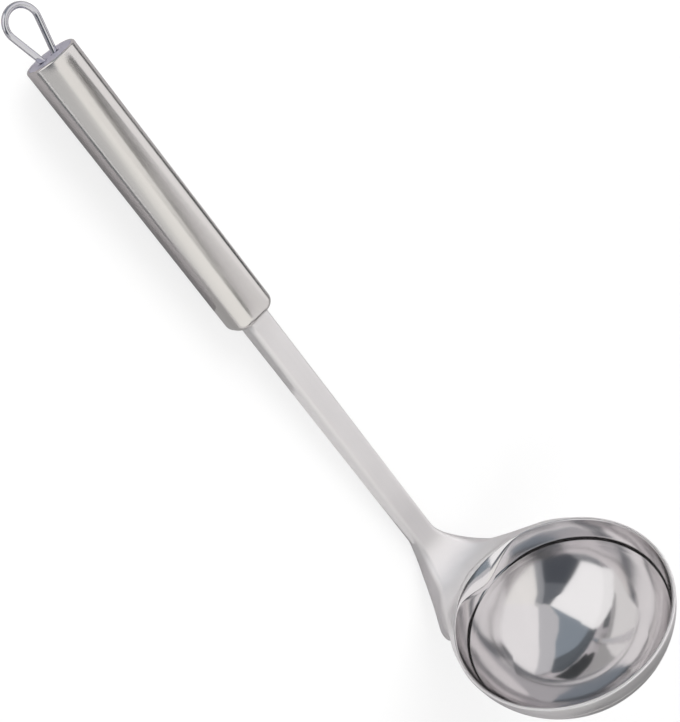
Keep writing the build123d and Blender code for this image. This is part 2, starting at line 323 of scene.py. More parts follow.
class Places:
    """Turns places given along and above the shank, or out from and up from the mouth, into the frame's."""

    def __init__(self):
        scene = bpy.context.scene
        s = self.sheet = scene.ladle_sheet
        h = self.handle = scene.ladle_handle
        self.loop = scene.ladle_loop
        self.reach = s.mouth_radius + s.neck_length
        self.bend_start = s.bend_radius * tan(HANDLE_ANGLE / 2) - s.neck_dip / sin(HANDLE_ANGLE)
        centre_x = s.mouth_radius - s.side_arc_radius * cos(WALL_LEAN)
        centre_z = s.side_arc_radius * sin(WALL_LEAN)
        rise = centre_z + s.bowl_depth
        self.side_centre = (centre_x, centre_z)
        self.floor_radius = (centre_x**2 + rise**2 - s.side_arc_radius**2) / (2 * (rise - s.side_arc_radius))
        self.floor_centre = self.floor_radius - s.bowl_depth
        slope = (h.handle_diameter - h.front_height) / 2 / h.handle_length
        drop = h.top_rise + h.front_height / 2 + slope * h.shoulder
        between_along = s.shank_run + h.shoulder - self.bend_start
        between_above = h.shoulder - drop - s.bend_radius
        turn = asin((h.shoulder - s.bend_radius - s.flange_drop) / hypot(between_along, between_above))
        self.tilt = turn - atan2(between_above, between_along)
        self.handle_end = s.shank_run + h.handle_length
        low = self.lying(*self.from_mouth(0, self.floor_centre))[0] - self.floor_radius
        high = self.lying(self.handle_end + self.loop.height, -h.top_rise)[0] + self.loop.wire / 2
        self.middle = (low + high) / 2
        self.floor = self.lying(self.bend_start, s.bend_radius)[1] - s.bend_radius - s.flange_drop

    def lying(self, along, above):
        """Level and upright distance, on the tilted ladle, of a place along and above the shank."""
        c, n = cos(self.tilt), sin(self.tilt)
        return along * c - above * n, along * n + above * c

    def from_mouth(self, out, up):
        """A place out from and up from the middle of the mouth, as one along and above the shank."""
        c, n = cos(HANDLE_ANGLE), sin(HANDLE_ANGLE)
        return (out - self.reach) * c + up * n, up * c - (out - self.reach) * n

    def to_mouth(self, along, above):
        """A place along and above the shank, as one out from and up from the middle of the mouth."""
        c, n = cos(HANDLE_ANGLE), sin(HANDLE_ANGLE)
        return self.reach + along * c - above * n, along * n + above * c

    def matrix(self, angle, along, above):
        """Matrix to the frame from axes at a place: x turned by an angle from the shank, y to the side, z up."""
        turned = self.tilt + angle
        x, z = self.lying(along, above)
        matrix = Matrix.Rotation(-turned, 4, "Y")
        matrix.translation = Vector((x - self.middle, 0, z - self.floor))
        return matrix

    def mouth_matrix(self):
        return self.matrix(-HANDLE_ANGLE, *self.from_mouth(0, 0))

    def handle_matrix(self):
        return self.matrix(0, self.sheet.shank_run, -self.handle.top_rise)

    def loop_matrix(self):
        return self.matrix(0, self.handle_end, -self.handle.top_rise)


def arc(centre, radius, start, end, count):
    """Points along an arc, both ends included."""
    turns = [start + (end - start) * k / count for k in range(count + 1)]
    return [(centre[0] + radius * cos(turn), centre[1] + radius * sin(turn)) for turn in turns]


def smooth(low, high, value):
    """Smooth step from 0 at the low edge to 1 at the high one."""
    t = min(max((value - low) / (high - low), 0), 1)
    return t * t * (3 - 2 * t)


def quads(a, b, closed=True):
    """Faces between two rows of equal count, with the last step back to the start where they are closed rings."""
    count = len(a)
    return [(a[k], a[(k + 1) % count], b[(k + 1) % count], b[k]) for k in range(count if closed else count - 1)]


def fan(pole, ring):
    """Faces between a pole and a ring."""
    return [(pole, ring[k], ring[(k + 1) % len(ring)]) for k in range(len(ring))]


def new_object(name, data):
    """An object in the scene."""
    thing = bpy.data.objects.new(name, data)
    bpy.context.scene.collection.objects.link(thing)
    return thing


def ride_piece(piece, replaces):
    """Rides the piece on the ladle's body and hides the node that it stands for."""
    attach(piece, "root")
    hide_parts(replaces)


def new_piece(name, points, faces, matrix, materials, replaces, finishes=None):
    """A smooth mesh piece at the origin, with its place in its mesh, riding on the ladle's body."""
    mesh = bpy.data.meshes.new(name)
    mesh.from_pydata([tuple(p) for p in points], [], faces)
    mesh.transform(matrix)
    for material in materials:
        mesh.materials.append(material)
    if finishes:
        mesh.polygons.foreach_set("material_index", finishes)
    work = bmesh.new()
    work.from_mesh(mesh)
    bmesh.ops.recalc_face_normals(work, faces=work.faces)
    work.to_mesh(mesh)
    work.free()
    mesh.polygons.foreach_set("use_smooth", [True] * len(mesh.polygons))
    ride_piece(new_object(name, mesh), replaces)


# The pressed sheet

def cubic(t):
    """Weights of the start, its slope, the end and its slope at a share of the way along a cubic curve."""
    return 2 * t**3 - 3 * t**2 + 1, t**3 - 2 * t**2 + t, 3 * t**2 - 2 * t**3, t**3 - t**2


def eased(x, xs, ys):
    """Smooth curve through the values ys at xs, a cubic with its slopes from the neighbours."""
    xs, ys = np.array(xs, float), np.array(ys, float)
    slopes = np.gradient(ys, xs)
    i = int(np.clip(np.searchsorted(xs, x) - 1, 0, len(xs) - 2))
    h = xs[i + 1] - xs[i]
    a, b, c, d = cubic((x - xs[i]) / h)
    return a * ys[i] + b * h * slopes[i] + c * ys[i + 1] + d * h * slopes[i + 1]


def wall_radius(places, height, inset):
    """Radius of the bowl's side at a height, on a surface inset from the outside."""
    centre_x, centre_z = places.side_centre
    return centre_x + ((places.sheet.side_arc_radius - inset) ** 2 - (height - centre_z) ** 2) ** 0.5


def bowl_profile(places, inset, top, floor_steps, side_steps):
    """(radius, height) points from above the bowl's bottom up to a height, on a surface inset from the outside."""
    side_radius = places.sheet.side_arc_radius - inset
    centre_x, centre_z = places.side_centre
    join = atan2(centre_z - places.floor_centre, centre_x)
    points = arc((0, places.floor_centre), places.floor_radius - inset, -pi / 2, join, floor_steps)[1:]
    points += arc((centre_x, centre_z), side_radius, join, asin((top - centre_z) / side_radius), side_steps)[1:]
    return points


def lip_at(places, angle):
    """How far the lip stands out from the bowl's outside, at an angle round the mouth from the neck."""
    s = places.sheet
    shift = s.lip_width / (1 - cos(LIP_END))
    disc = s.mouth_radius + s.lip_width - shift
    return max(shift * cos(angle) + (disc**2 - (shift * sin(angle)) ** 2) ** 0.5 - s.mouth_radius, 0)


def crease_at(places, angle):
    """(radius, height, rounding) of the edge where the bowl's inside turns over into the rim or the neck."""
    s = places.sheet
    reach = min(abs(angle) / CREASE_END, 1)
    bump = cos(reach * pi / 2) ** 2
    return (
        s.mouth_radius - s.thickness + s.crease_rounding + s.crease_reach * bump,
        -s.crease_dip * bump,
        s.crease_rounding + s.crease_extra_rounding * bump,
    )


def rim_side(places, angle, low):
    """(radius, height) points at an angle, from the rim's top over the lip's edge down the outside to a height."""
    s = places.sheet
    lip = lip_at(places, angle)
    outer = s.mouth_radius + lip
    rounding = s.rim_rounding
    drop = rounding * 2 + (s.lip_drop - rounding * 2) * smooth(0, s.lip_width / 3, lip)
    height = crease_at(places, angle)[1]
    points = arc((outer - rounding, height - rounding), rounding, pi / 2, 0, RIM_STEPS)
    foot = height - drop
    points += [(outer, height - rounding + (foot - height + rounding) * part) for part in FLAT_PARTS]
    points += [(outer - LIP_EDGE_IN * lip, foot), (wall_radius(places, foot, 0) + LIP_FOOT_OUT * lip, foot)]
    for k in range(1, UNDER_RIM_STEPS + 1):
        z = foot + (low - foot) * (k / UNDER_RIM_STEPS) ** UNDER_RIM_EASE
        points.append((wall_radius(places, z, 0), z))
    return points


def section_side(s, half, drop, spread, fold):
    """(side, height) points from the flat top's edge over the fold, down the flange, round its foot and back up."""
    lean = atan2(spread, drop)
    centre = (half - fold * tan((pi / 2 - lean) / 2), -fold)
    slant = Vector((sin(lean), -cos(lean)))
    across = Vector((cos(lean), sin(lean)))
    outer_arc = arc(centre, fold, pi / 2, lean, FOLD_STEPS[0])
    inner_arc = arc(centre, fold - s.thickness, lean, pi / 2, FOLD_STEPS[1])
    start = Vector(outer_arc[-1])
    edge = FOOT_EDGE * s.thickness
    run = (start.y + drop - (s.thickness - edge) * sin(lean)) / cos(lean)
    down = [start + slant * run * part for part in FLAT_PARTS]
    end = start + slant * run
    foot = [end - across * edge, end - across * (s.thickness - edge)]
    up = [p - across * s.thickness for p in reversed(down)]
    return [tuple(p) for p in outer_arc + down + foot + up + inner_arc]


def section_ring(places, centre, lean, half, drop, spread, fold):
    """One closed ring of the neck or shank as points in the mouth's frame."""
    s = places.sheet
    side = section_side(s, half, drop, spread, fold)
    top_edge, under_edge = side[0][0], side[-1][0]
    ring = [(top_edge * (k / (OPEN_STEPS + 1) - 1), 0) for k in range(1, 2 * OPEN_STEPS + 2)]
    ring += side
    ring += [(under_edge * (1 - k / OPEN_STEPS), -s.thickness) for k in range(1, 2 * OPEN_STEPS)]
    ring += [(-y, z) for y, z in reversed(side)]
    c, n = cos(lean), sin(lean)
    return [Vector((centre[0] - z * n, y, centre[1] + z * c)) for y, z in ring]


def shank_rings(places):
    """Rings of the bend and of the shank, from the end of the neck to inside the handle."""
    s = places.sheet
    bend_length = s.bend_radius * HANDLE_ANGLE
    ends = [bend_length * (1 - turn) for turn in BEND_TURNS] + [bend_length * run for run in STRAIGHT_RUNS]
    sizes_at_ends = [
        [part * size for part in parts] + [straight] * len(STRAIGHT_RUNS) for parts, size, straight in (
            (BEND_HALF_WIDTHS, s.mouth_radius, s.shank_neck_width / 2), (BEND_DROPS, s.flange_drop, s.flange_drop),
            (BEND_SPREADS, s.flange_drop, s.flange_spread), (BEND_FOLDS, s.fold_radius, s.fold_radius),
        )
    ]
    rings = []
    for row in range(BEND_ROWS + 1):
        run = bend_length * row / BEND_ROWS
        turn = HANDLE_ANGLE * (1 - row / BEND_ROWS)
        along = places.bend_start - s.bend_radius * sin(turn)
        above = s.bend_radius * (1 - cos(turn))
        sizes = [eased(run, ends, values) for values in sizes_at_ends]
        rings.append(section_ring(places, places.to_mouth(along, above), HANDLE_ANGLE - turn, *sizes))
    last = s.shank_run + s.tang_shown
    for row in range(1, SHANK_ROWS + 1):
        along = places.bend_start + (last - places.bend_start) * row / SHANK_ROWS
        width = s.shank_neck_width + (s.shank_front_width - s.shank_neck_width) * row / SHANK_ROWS
        centre = places.to_mouth(along, 0)
        sizes = (width / 2, s.flange_drop, s.flange_spread, s.fold_radius)
        rings.append(section_ring(places, centre, HANDLE_ANGLE, *sizes))
    return rings


def neck_rings(border, first, second):
    """Rings that carry the opening's border over into the first ring of the bend, along cubic curves."""
    count = len(border)
    rings = []
    for row in range(1, NECK_ROWS):
        a, b, c, d = cubic(row / NECK_ROWS)
        ring = []
        for i in range(count):
            start, end = Vector(border[i]), first[i]
            chord = end - start
            leave = chord.copy()
            arrive = (second[i] - first[i]).normalized() * chord.length
            # Place along the ring's nearer side, negative on the top and 20 or more on the underside
            k = min(i - TOP_POINTS, count - 1 - i)
            if k >= 0:
                weight = FOOT_PULL * smooth(*FOOT_RISE, k) * (1 - smooth(*FOOT_FALL, k))
                leave += Vector((0.0, FOOT_SIDEWAYS * (1 if start.y > 0 else -1), -1.0)) * chord.length * weight
                low = smooth(*UNDER_RISE, k)
                leave = leave * (1 - low) + Vector((0, 0, 1)) * chord.length * UNDER_PULL * low
            ring.append(start * a + leave * b + end * c + arrive * d)
        rings.append(ring)
    return rings


def build_sheet(places):
    """Points, faces and finishes of the whole pressing as one closed skin in the mouth's frame."""
    s = places.sheet
    angles = [2 * pi * k / ROUND_STEPS for k in range(ROUND_STEPS)]
    signed = [a if a <= pi else a - 2 * pi for a in angles]
    points, faces, finishes = [], [], []

    def put(x, y, z):
        points.append((x, y, z))
        return len(points) - 1

    def polar(pairs):
        return [put(r * cos(a), r * sin(a), z) for a, (r, z) in zip(angles, pairs)]

    def skin(more, finish):
        faces.extend(more)
        finishes.extend([finish] * len(more))

    # Inside, from the bottom up the wall, then over the rounding to the crease
    creases = [crease_at(places, n) for n in signed]
    profile = bowl_profile(places, s.thickness, -s.wall_top, *INSIDE_STEPS)
    inside = [polar([pair] * ROUND_STEPS) for pair in profile]
    tops = [height - rounding for _, height, rounding in creases]
    for row in range(1, WALL_STEPS + 1):
        heights = [-s.wall_top + (top + s.wall_top) * (row / WALL_STEPS) for top in tops]
        inside.append(polar([(wall_radius(places, z, s.thickness), z) for z in heights]))
    for row in range(1, CREASE_STEPS + 1):
        turn = row / CREASE_STEPS * pi / 2
        pairs = []
        for (radius, height, _), top in zip(creases, tops):
            start = wall_radius(places, top, s.thickness)
            pairs.append((start + (radius - start) * (1 - cos(turn)), top + (height - top) * sin(turn)))
        inside.append(polar(pairs))
    skin(fan(put(0, 0, places.floor_centre - places.floor_radius + s.thickness), inside[0]), POLISHED)
    for a, b in zip(inside, inside[1:]):
        skin(quads(a, b), POLISHED)
    crease = inside[-1]

    # The last row is satin where the inside turns over into the neck
    for k in range(ROUND_STEPS):
        if abs(signed[k]) < CREASE_END:
            finishes[k - ROUND_STEPS] = SATIN

    # Rim, lip and the top of the outside, open where the neck leaves
    low = -s.wall_top
    right, left = OPEN_STEPS, ROUND_STEPS - OPEN_STEPS
    columns = {}
    for k in range(right, left + 1):
        pairs = rim_side(places, signed[k], low)
        columns[k] = [put(r * cos(angles[k]), r * sin(angles[k]), z) for r, z in pairs]
    for k in range(right, left):
        skin([(crease[k], crease[k + 1], columns[k + 1][0], columns[k][0])], SATIN)
        skin(quads(columns[k], columns[k + 1], closed=False), SATIN)

    # Outside of the bowl
    wall = wall_radius(places, low, 0)
    outside_top = [
        columns[k][-1] if k in columns else put(wall * cos(angles[k]), wall * sin(angles[k]), low)
        for k in range(ROUND_STEPS)
    ]
    profile = bowl_profile(places, 0, low, *OUTSIDE_STEPS)[:-1]
    outside = [polar([pair] * ROUND_STEPS) for pair in profile] + [outside_top]
    skin(fan(put(0, 0, -s.bowl_depth), outside[0]), SATIN)
    for a, b in zip(outside, outside[1:]):
        skin(quads(a, b), SATIN)

    # Neck and shank: rings from the opening's border to the handle
    border = [crease[k % ROUND_STEPS] for k in range(-OPEN_STEPS, OPEN_STEPS + 1)]
    border += columns[right]
    border += [outside_top[k % ROUND_STEPS] for k in range(OPEN_STEPS - 1, -OPEN_STEPS, -1)]
    border += list(reversed(columns[left]))
    far = shank_rings(places)
    near = neck_rings([points[i] for i in border], far[0], far[1])
    rings = [border] + [[put(*p) for p in ring] for ring in near + far]
    for a, b in zip(rings, rings[1:]):
        skin(quads(a, b), SATIN)
    skin([tuple(rings[-1])], SATIN)
    return points, faces, finishes


# The handle, its cap and the loop

def handle_size(h, distance, inset):
    """Half width, half height and corner radius of the handle at a distance from its front, inset."""
    part = distance / h.handle_length
    rear_corner = h.handle_diameter / 2 * REAR_CORNER
    width = h.front_width + (h.handle_diameter - h.front_width) * part
    height = h.front_height + (h.handle_diameter - h.front_height) * part
    corner = h.front_corner + (rear_corner - h.front_corner) * part
    return width / 2 - inset, height / 2 - inset, max(corner - inset, MM / 10)


def rounded_ring(x, half_width, half_height, corner):
    """Ring of points across the handle's axis: a rectangle with round corners."""
    ring = []
    quarter = HANDLE_ROUND // 4
    for k in range(HANDLE_ROUND):
        turn = (k + 0.5) * 2 * pi / HANDLE_ROUND
        side = 1 if cos(turn) > 0 else -1
        rise = 1 if sin(turn) > 0 else -1
        flat = ((k % quarter) + 0.5) / quarter
        flat = flat if side * rise > 0 else 1 - flat
        turned = flat * pi / 2
        y = side * (half_width - corner + corner * cos(turned))
        z = rise * (half_height - corner + corner * sin(turned))
        ring.append((x, y, z))
    return ring


def closed_skin(rings, start, end):
    """Points and faces of rings of equal count, closed by a fan to a point at either end."""
    points, faces, indices = [], [], []
    for ring in rings:
        indices.append(range(len(points), len(points) + len(ring)))
        points += ring
    for a, b in zip(indices, indices[1:]):
        faces += quads(a, b)
    for pole, ring in ((start, indices[0]), (end, indices[-1])):
        faces += fan(len(points), ring)
        points.append(pole)
    return points, faces


def build_handle(places):
    """Points and faces of the tube: closed rounded front, walls, rounded rear edge and the hollow inside."""
    h = places.handle
    rings = []
    for part in FRONT_PARTS:
        rings.append(rounded_ring(0, *[size * part for size in handle_size(h, 0, h.shoulder)]))
    for k in range(SHOULDER_STEPS + 1):
        turn = k / SHOULDER_STEPS * pi / 2
        sizes = handle_size(h, 0, h.shoulder * (1 - sin(turn)))
        rings.append(rounded_ring(h.shoulder * (1 - cos(turn)), *sizes))
    body_end = h.handle_length - h.rear_edge
    for k in range(1, TUBE_STEPS + 1):
        distance = h.shoulder + (body_end - h.shoulder) * k / TUBE_STEPS
        rings.append(rounded_ring(distance, *handle_size(h, distance, 0)))
    for k in range(1, REAR_STEPS + 1):
        turn = k / REAR_STEPS * pi / 2
        distance = body_end + h.rear_edge * sin(turn)
        rings.append(rounded_ring(distance, *handle_size(h, h.handle_length, h.rear_edge * (1 - cos(turn)))))
    end = h.handle_length
    for distance in (end - h.wall / 10, end - h.wall, end / 2, h.shoulder, h.wall * INNER_FRONT):
        rings.append(rounded_ring(distance, *handle_size(h, distance, h.wall)))
    rings.append(rounded_ring(h.wall, *handle_size(h, h.wall, h.shoulder)))
    return closed_skin(rings, (0, 0, 0), (h.wall, 0, 0))


def circle(x, y, radius, count):
    """Ring of points across the handle's axis."""
    return [(x, y + radius * cos(2 * pi * k / count), radius * sin(2 * pi * k / count)) for k in range(count)]


def build_cap(places):
    """Points and faces of the cap: a disc with rounded edges and two holes for the wire."""
    h, loop = places.handle, places.loop
    radius = h.handle_diameter / 2 - h.wall - h.cap_gap
    work = bmesh.new()
    loops = []
    borders = [(0.0, radius, -1, CAP_ROUND)]
    borders += [(loop.offset + side * loop.spacing / 2, h.wire_hole / 2, 1, HOLE_ROUND) for side in (-1, 1)]
    for y, size, way, count in borders:
        profile = [(0, way * h.cap_edge * CAP_MARGIN)]
        for k in range(CAP_EDGE_STEPS + 1):
            turn = k / CAP_EDGE_STEPS * pi / 2
            profile.append((-h.cap_edge * (1 - cos(turn)), way * h.cap_edge * (1 - sin(turn))))
        profile += [(-h.cap_thickness + x, grow) for x, grow in ((h.cap_edge, 0), (0, way * h.cap_edge))]
        rings = [[work.verts.new(p) for p in circle(x, y, size + grow, count)] for x, grow in profile]
        for a, b in zip(rings, rings[1:]):
            for face in quads(a, b):
                work.faces.new(face)
        loops.append(rings)
    for end in (0, -1):
        edges = []
        for rings in loops:
            ring = rings[end]
            for k in range(len(ring)):
                pair = (ring[k], ring[(k + 1) % len(ring)])
                edges.append(work.edges.get(pair) or work.edges.new(pair))
        bmesh.ops.triangle_fill(work, use_beauty=True, use_dissolve=False, edges=edges)
    work.verts.index_update()
    points = [tuple(vert.co) for vert in work.verts]
    faces = [tuple(vert.index for vert in face.verts) for face in work.faces]
    work.free()
    return points, faces


def loop_path(places):
    """Points of the wire's path in the loop's frame: foot, leg, round top, leg, foot."""
    h, loop = places.handle, places.loop
    round_centre = loop.height - loop.half_width
    half_spacing = loop.spacing / 2
    lean = asin(loop.half_width / hypot(round_centre, half_spacing)) - atan2(half_spacing, round_centre)
    depth = h.cap_thickness + loop.foot_gap + loop.wire / 2
    corner = half_spacing - depth * tan(lean)
    foot = Vector((-depth, corner + loop.foot_length))
    bend = Vector((-depth, corner))
    leg = Vector((round_centre - loop.half_width * sin(lean), loop.half_width * cos(lean)))
    to_foot, to_leg = (foot - bend).normalized(), (leg - bend).normalized()
    opening = to_foot.angle(to_leg)
    cut = loop.foot_bend / tan(opening / 2)
    centre = bend + (to_foot + to_leg).normalized() * loop.foot_bend / sin(opening / 2)
    first, last = bend + to_foot * cut - centre, bend + to_leg * cut - centre
    sweep = first.angle(last)
    half = [tuple(foot)]
    for k in range(WIRE_FOOT_STEPS + 1):
        t = k / WIRE_FOOT_STEPS
        turned = (first * sin((1 - t) * sweep) + last * sin(t * sweep)) / sin(sweep)
        half.append(tuple(centre + turned))
    start = atan2(leg.y, leg.x - round_centre)
    half += arc((round_centre, 0), loop.half_width, start, 0, WIRE_TOP_STEPS)
    there = [(x, loop.offset + y, 0) for x, y in half]
    return there + [(x, loop.offset - y, 0) for x, y in reversed(half[:-1])]


# Nodes

def node(tree, kind, values=None, **settings):
    """A node with its settings. A value is set on its socket, or linked to it where it is another node's output."""
    made = tree.nodes.new(kind)
    for name, value in settings.items():
        setattr(made, name, value)
    for socket, value in (values or {}).items():
        if isinstance(value, bpy.types.NodeSocket):
            tree.links.new(value, made.inputs[socket])
        else:
            made.inputs[socket].default_value = value
    return made


def maths(tree, operation, *values, **settings):
    """Result of a Math node on numbers and other nodes' outputs."""
    return node(tree, "ShaderNodeMath", dict(enumerate(values)), operation=operation, **settings).outputs[0]


def vectors(tree, operation, values, result="Vector"):
    """Result of a Vector Math node."""
    return node(tree, "ShaderNodeVectorMath", values, operation=operation).outputs[result]


def noise(tree, place, scale, detail, roughness=0.5, distortion=0.0):
    """Noise at a place."""
    values = {"Vector": place, "Scale": scale, "Detail": detail, "Roughness": roughness, "Distortion": distortion}
    return node(tree, "ShaderNodeTexNoise", values).outputs["Fac"]


def ramp(tree, value, low, high, start=0.0, end=1.0):
    """Straight ramp between two values, level before and after."""
    values = {"Value": value, "From Min": low, "From Max": high, "To Min": start, "To Max": end}
    return node(tree, "ShaderNodeMapRange", values).outputs["Result"]


def wire_tree():
    """Node tree that sweeps a round wire along the edges of a mesh."""
    tree = bpy.data.node_groups.new("wire_sweep", "GeometryNodeTree")
    for label, kind in (("Geometry", "Geometry"), ("Wire Radius", "Float"), ("Rounds", "Int"), ("Steps", "Int"),
                        ("Material", "Material")):
        tree.interface.new_socket(label, in_out="INPUT", socket_type="NodeSocket" + kind)
    tree.interface.items_tree["Wire Radius"].subtype = "DISTANCE"
    tree.interface.new_socket("Geometry", in_out="OUTPUT", socket_type="NodeSocketGeometry")
    given = node(tree, "NodeGroupInput").outputs
    to_curve = node(tree, "GeometryNodeMeshToCurve", {"Mesh": given["Geometry"]})
    path = node(tree, "GeometryNodeResampleCurve", {"Curve": to_curve.outputs["Curve"], "Count": given["Steps"]})
    ring = node(tree, "GeometryNodeCurvePrimitiveCircle", {
        "Radius": given["Wire Radius"], "Resolution": given["Rounds"]
    })
    made = node(tree, "GeometryNodeCurveToMesh", {
        "Curve": path.outputs["Curve"], "Profile Curve": ring.outputs["Curve"], "Fill Caps": True
    }).outputs["Mesh"]
    for kind in ("GeometryNodeSetShadeSmooth", "GeometryNodeRealizeInstances"):
        made = node(tree, kind, {"Geometry": made}).outputs["Geometry"]
    painted = node(tree, "GeometryNodeSetMaterial", {"Geometry": made, "Material": given["Material"]})
    node(tree, "NodeGroupOutput", {"Geometry": painted.outputs["Geometry"]})
    return tree


def made_by_nodes(name, mesh, tree, values, replaces):
    """A plain mesh piece made by a geometry node tree from a starting mesh."""
    source = new_object(name + "_source", mesh)
    modifier = source.modifiers.new("nodes", "NODES")
    modifier.node_group = tree
    for item in tree.interface.items_tree:
        if item.in_out == "INPUT" and item.name in values:
            modifier[item.identifier] = values[item.name]
    source.update_tag()
    evaluated = source.evaluated_get(bpy.context.evaluated_depsgraph_get())
    result = bpy.data.meshes.new_from_object(evaluated)
    result.name = name
    bpy.data.objects.remove(source)
    ride_piece(new_object(name, result), replaces)


# Steels

def shader_group(name, inputs):
    """A shader group that puts out a colour, a roughness and a height, and the outputs of its input node."""
    tree = bpy.data.node_groups.new(name, "ShaderNodeTree")
    for label, value in inputs.items():
        size = len(value) if isinstance(value, tuple) else 1
        tree.interface.new_socket(label, in_out="INPUT", socket_type=SOCKET_KINDS[size]).default_value = value
    for label, size in (("Color", 4), ("Roughness", 1), ("Height", 1)):
        tree.interface.new_socket(label, in_out="OUTPUT", socket_type=SOCKET_KINDS[size])
    return tree, node(tree, "NodeGroupInput").outputs


def put_out(tree, given, variation, contrast, roughness, height):
    """The group's output node; its colour is lighter or darker by a share of the variation."""
    bright = maths(tree, "MULTIPLY_ADD", variation, contrast, 1.0)
    tinted = vectors(tree, "SCALE", {0: given["Base Color"], "Scale": bright})
    node(tree, "NodeGroupOutput", {"Color": tinted, "Roughness": roughness, "Height": height})


def scratches(tree, place, turn, stretch, low, high):
    """Thin lines, 0 to 1, where a noise stretched along them passes from the low to the high value."""
    lines = node(tree, "ShaderNodeMapping", {"Vector": place, "Rotation": turn, "Scale": stretch})
    return ramp(tree, noise(tree, lines.outputs["Vector"], scale=1.0, detail=2.0), low, high)


def brushed_group():
    """Brushed steel: fine grain lines along X of the turned Object coordinates, cloudy variation and scratches."""
    tree, given = shader_group("brushed_steel", {
        "Turn": (0.0, 0.0, 0.0), "Stretch": (40.0, 2600.0, 2600.0), "Grain": 0.5, "Cloud": 0.5, "Roughness": 0.3,
        "Base Color": (0.7, 0.7, 0.7, 1.0),
    })
    coords = node(tree, "ShaderNodeTexCoord").outputs["Object"]
    turned = node(tree, "ShaderNodeMapping", {"Vector": coords, "Rotation": given["Turn"]}).outputs["Vector"]
    stretched = vectors(tree, "MULTIPLY", {0: turned, 1: given["Stretch"]})
    grain = noise(tree, stretched, scale=1.0, detail=6.0, roughness=0.62)
    cloud = noise(tree, turned, scale=38.0, detail=4.0, roughness=0.55)
    scratched = scratches(tree, turned, turn=(0.3, 0.2, 0.9), stretch=(60.0, 1500.0, 1500.0), low=0.70, high=0.78)
    grain_part = maths(tree, "MULTIPLY", maths(tree, "SUBTRACT", grain, 0.5), given["Grain"])
    cloud_part = maths(tree, "MULTIPLY", maths(tree, "SUBTRACT", cloud, 0.5), given["Cloud"])
    both = maths(tree, "ADD", grain_part, cloud_part)
    rough = maths(tree, "MULTIPLY_ADD", both, given["Roughness"], given["Roughness"])
    rougher = maths(tree, "ADD", rough, maths(tree, "MULTIPLY", scratched, SCRATCH_WEAR), use_clamp=True)
    put_out(tree, given, both, BRUSHED_CONTRAST, rougher, maths(tree, "MULTIPLY_ADD", scratched, -0.6, grain))
    return tree


def polished_group():
    """Polished steel: faint turning lines round the Centre, smudges, hairline scratches and a wavy, duller rim."""
    tree, given = shader_group("polished_steel", {
        "Turn": (0.0, 0.0, 0.0), "Centre": (0.0, 0.0, 0.0), "Rings": 0.5, "Smudge": 0.5, "Rim Blur": 0.0, "Wave": 0.0,
        "Roughness": 0.08, "Base Color": (0.8, 0.8, 0.8, 1.0),
    })
    coords = node(tree, "ShaderNodeTexCoord").outputs["Object"]
    centred = vectors(tree, "SUBTRACT", {0: coords, 1: given["Centre"]})
    turning = {"Vector": centred, "Rotation": given["Turn"]}
    turned = node(tree, "ShaderNodeVectorRotate", turning, rotation_type="EULER_XYZ").outputs["Vector"]
    apart = node(tree, "ShaderNodeSeparateXYZ", {0: turned}).outputs
    flat = node(tree, "ShaderNodeCombineXYZ", {"X": apart["X"], "Y": apart["Y"]}).outputs[0]
    radius = vectors(tree, "LENGTH", {0: flat}, "Value")
    ringed = node(tree, "ShaderNodeCombineXYZ", {"X": radius, "Z": apart["Z"]}).outputs[0]
    rings = noise(tree, ringed, scale=1500.0, detail=4.0, roughness=0.6)
    smudge = noise(tree, turned, scale=55.0, detail=5.0, roughness=0.6, distortion=0.6)
    smudges = ramp(tree, smudge, low=0.35, high=0.75)
    hairs = scratches(tree, turned, turn=(0.0, 0.0, 0.7), stretch=(90.0, 2400.0, 900.0), low=0.72, high=0.80)
    ring_part = maths(tree, "MULTIPLY", rings, given["Rings"])
    smudge_part = maths(tree, "MULTIPLY", smudges, given["Smudge"])
    marks = maths(tree, "ADD", maths(tree, "ADD", ring_part, smudge_part), hairs)
    rough = maths(tree, "MULTIPLY_ADD", marks, given["Roughness"], given["Roughness"])
    rim = ramp(tree, apart["Z"], *RIM_HEIGHTS)
    rougher = maths(tree, "MULTIPLY_ADD", rim, given["Rim Blur"], rough, use_clamp=True)
    wave = maths(tree, "MULTIPLY", noise(tree, turned, scale=42.0, detail=1.0), given["Wave"])
    waved = maths(tree, "MULTIPLY", wave, maths(tree, "MULTIPLY_ADD", rim, 0.9, 0.1))
    height = maths(tree, "MULTIPLY_ADD", maths(tree, "MULTIPLY_ADD", hairs, -0.5, rings), 0.1, waved)
    put_out(tree, given, marks, POLISHED_CONTRAST, rougher, height)
    return tree


def bare_tree(data):
    """The emptied node tree of a material or world."""
    data.use_nodes = True
    data.node_tree.nodes.clear()
    return data.node_tree


def steel(name, group, base, bump, values, metallic=1.0):
    """A metal whose colour, roughness and fine relief come from a shader group; a dull one also scatters light."""
    material = bpy.data.materials.new(name)
    tree = bare_tree(material)
    given = node(tree, "ShaderNodeGroup", node_tree=group)
    for label, value in values.items():
        given.inputs[label].default_value = value
    given.inputs["Base Color"].default_value = (*base, 1.0)
    relief = node(tree, "ShaderNodeBump", {
        "Strength": bump, "Distance": RELIEF_DEPTH, "Height": given.outputs["Height"]
    })
    surface = node(tree, "ShaderNodeBsdfPrincipled", {
        "Metallic": metallic, "Base Color": given.outputs["Color"], "Roughness": given.outputs["Roughness"],
        "Normal": relief.outputs["Normal"],
    })
    node(tree, "ShaderNodeOutputMaterial", {"Surface": surface.outputs["BSDF"]})


